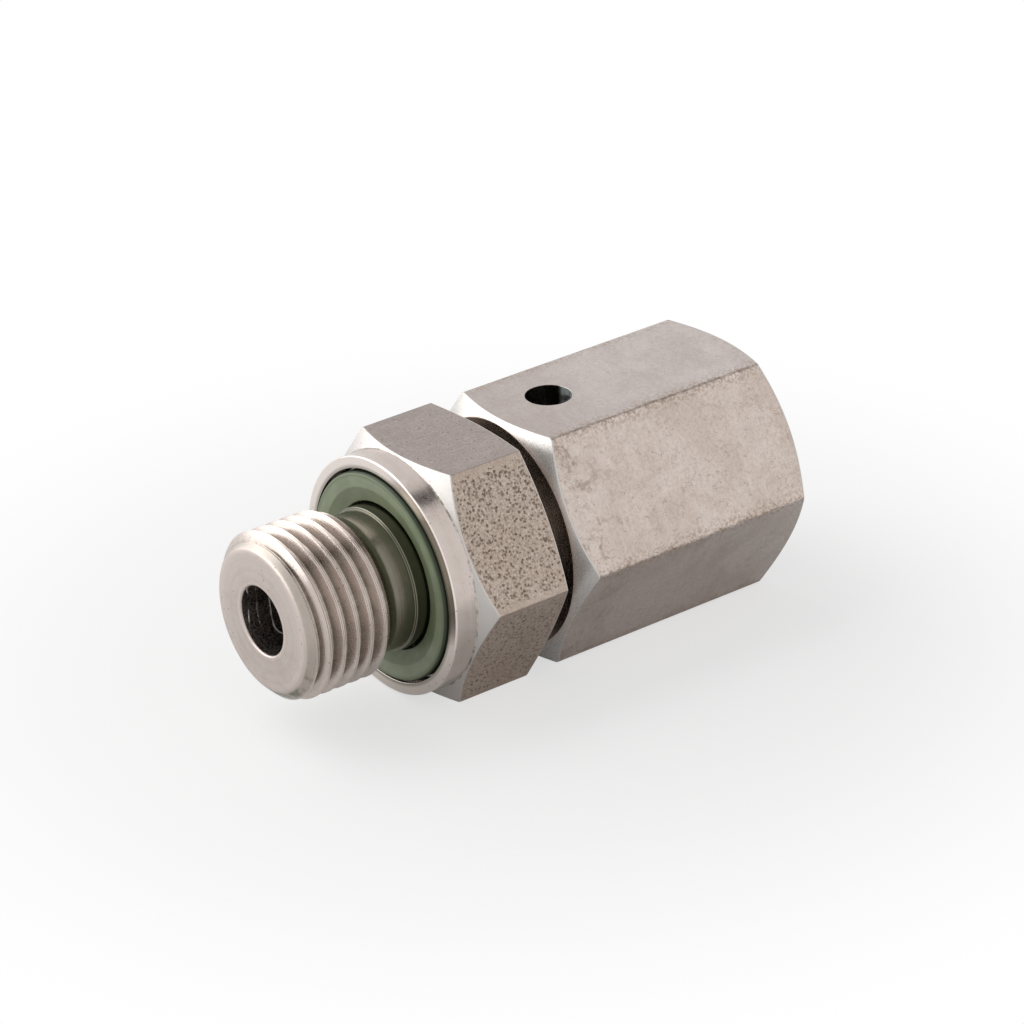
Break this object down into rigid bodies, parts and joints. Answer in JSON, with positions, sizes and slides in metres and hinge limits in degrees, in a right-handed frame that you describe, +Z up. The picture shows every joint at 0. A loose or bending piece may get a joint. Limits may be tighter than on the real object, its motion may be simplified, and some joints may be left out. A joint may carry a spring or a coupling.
{
  "type": "swivel fitting",
  "caption": "Straight hydraulic stud coupling with a threaded stud, profile seal, hexagon body and free-turning swivel nut over a cone, in satin stainless steel.",
  "frame": {"origin": "centre of the collar face that meets the port, on the fitting's axis", "axes": "+X along the axis from the stud to the nut's open end, +Z up through a flat of each hexagon"},
  "size_m": [0.0326, 0.0162, 0.014],
  "materials": {
    "body_steel": "satin stainless steel, pitted on the hexagon's flats and turned on the collar and stud",
    "seal_rubber": "matt moulded green rubber",
    "nut_steel": "satin stainless steel with faint stains and brown edges",
    "wire_steel": "drawn wire",
    "ring_rubber": "smooth black rubber"
  },
  "bodies": {
    "fitting_body": {"body": "body_steel", "profile_seal": "seal_rubber", "retaining_wire": "wire_steel", "cone_o_ring": "ring_rubber"},
    "nut": {"swivel_nut": "nut_steel"}
  },
  "joints": [
    {"name": "nut_swivel", "type": "hinge", "parent": "fitting_body", "child": "nut", "pos_m": [0.01209, 0, 0], "axis": [1, 0, 0], "continuous": true}
  ]
}
